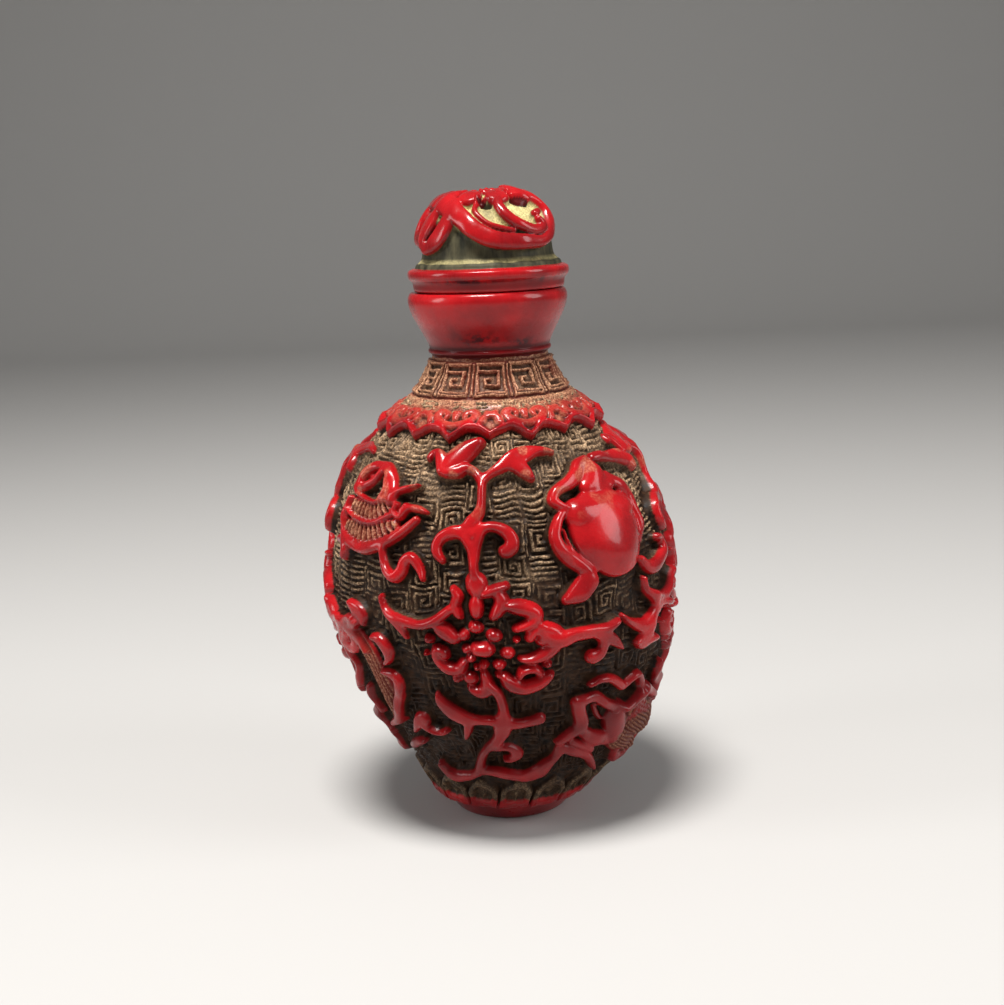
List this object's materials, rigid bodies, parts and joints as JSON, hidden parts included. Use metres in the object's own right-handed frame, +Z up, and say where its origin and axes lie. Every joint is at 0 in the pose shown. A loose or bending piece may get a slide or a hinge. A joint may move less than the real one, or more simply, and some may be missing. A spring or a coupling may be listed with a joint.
{
  "type": "snuff bottle",
  "caption": "Egg-shaped hollow snuff bottle of carved red lacquer with scrolling leaves, flowers and emblems, a cup-shaped mouth and a domed stopper resting in it.",
  "frame": {"origin": "centre of the foot's flat underside, on the axis of the mouth", "axes": "+Z up along the axis of neck and mouth, -Y towards the side with the flower between gourd and basket, +X to its right"},
  "size_m": [0.0466, 0.0466, 0.0826],
  "materials": {
    "carved_lacquer": "glossy red lacquer, worn and darkened in the carved ground",
    "stopper_lacquer": "glossy red lacquer ribbons over a dark olive dome"
  },
  "bodies": {
    "root": {"bottle": "carved_lacquer", "stopper": "stopper_lacquer"}
  },
  "joints": []
}
